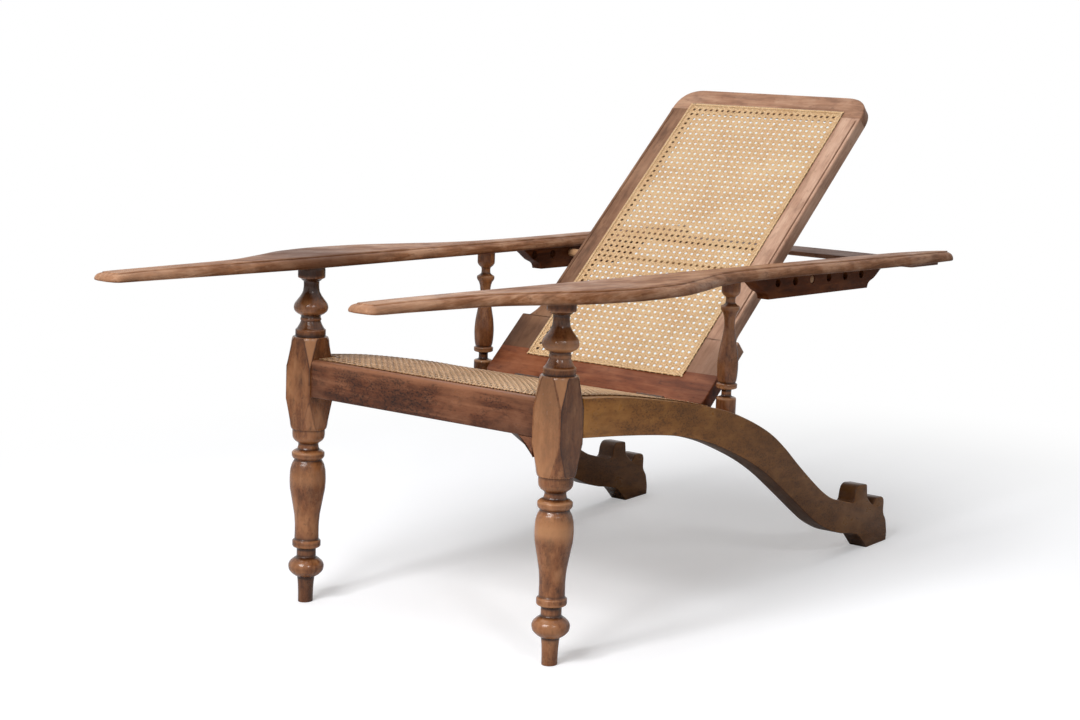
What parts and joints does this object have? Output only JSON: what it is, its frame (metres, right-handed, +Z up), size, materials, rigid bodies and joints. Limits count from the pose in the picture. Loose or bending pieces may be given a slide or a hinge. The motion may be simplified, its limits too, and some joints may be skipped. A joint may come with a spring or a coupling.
{
  "type": "planters chair",
  "caption": "Long-armed hardwood planters chair with turned front legs, scrolled back legs, caned seat and a reclining caned back propped on a rod in slotted brackets.",
  "frame": {"origin": "on the floor under the middle of the chair, halfway between the front and rear tips of the arms", "axes": "+Z up, the front of the chair towards -Y and the tips of the back legs towards +Y, the sitter's left towards +X"},
  "size_m": [0.8162, 1.732, 0.8893],
  "materials": {
    "turned_wood": "waxed reddish-brown hardwood, turned",
    "rail_wood": "honey-brown hardwood, waxed and rubbed",
    "arm_wood": "faded greyish-brown hardwood, worn satin",
    "red_wood": "dark reddish-brown hardwood, scuffed satin",
    "dark_wood": "very dark brown hardwood, satin",
    "cane": "hand-woven natural cane, satin straw colour",
    "iron": "aged iron, dull brown-black"
  },
  "bodies": {
    "frame": {"front_leg_left": "turned_wood", "front_leg_right": "turned_wood", "rear_post_left": "turned_wood", "rear_post_right": "turned_wood", "side_rail_left": "rail_wood", "side_rail_right": "rail_wood", "rear_seat_rail": "rail_wood", "arm_left": "arm_wood", "arm_right": "arm_wood", "rear_cross_board": "arm_wood", "front_rail": "red_wood", "arm_bracket_left": "dark_wood", "arm_bracket_right": "dark_wood", "knee_block": "dark_wood", "seat_cane": "cane", "hinge_seat_leaf_left": "iron", "hinge_seat_leaf_right": "iron", "hinge_pin_left": "iron", "hinge_pin_right": "iron"},
    "back": {"back_stile_left": "arm_wood", "back_stile_right": "arm_wood", "back_top_rail": "arm_wood", "back_bottom_rail": "red_wood", "back_cane": "cane", "hinge_back_leaf_left": "iron", "hinge_back_leaf_right": "iron"},
    "rod": {"support_rod": "dark_wood"}
  },
  "joints": [
    {"name": "back_recline", "type": "hinge", "parent": "frame", "child": "back", "pos_m": [0, 0.08024, 0.36973], "axis": [1, 0, 0], "range_deg": [0, 122]},
    {"name": "rod_draw", "type": "slide", "parent": "frame", "child": "rod", "axis": [1, 0, 0], "range_m": [0, 0.6]}
  ]
}
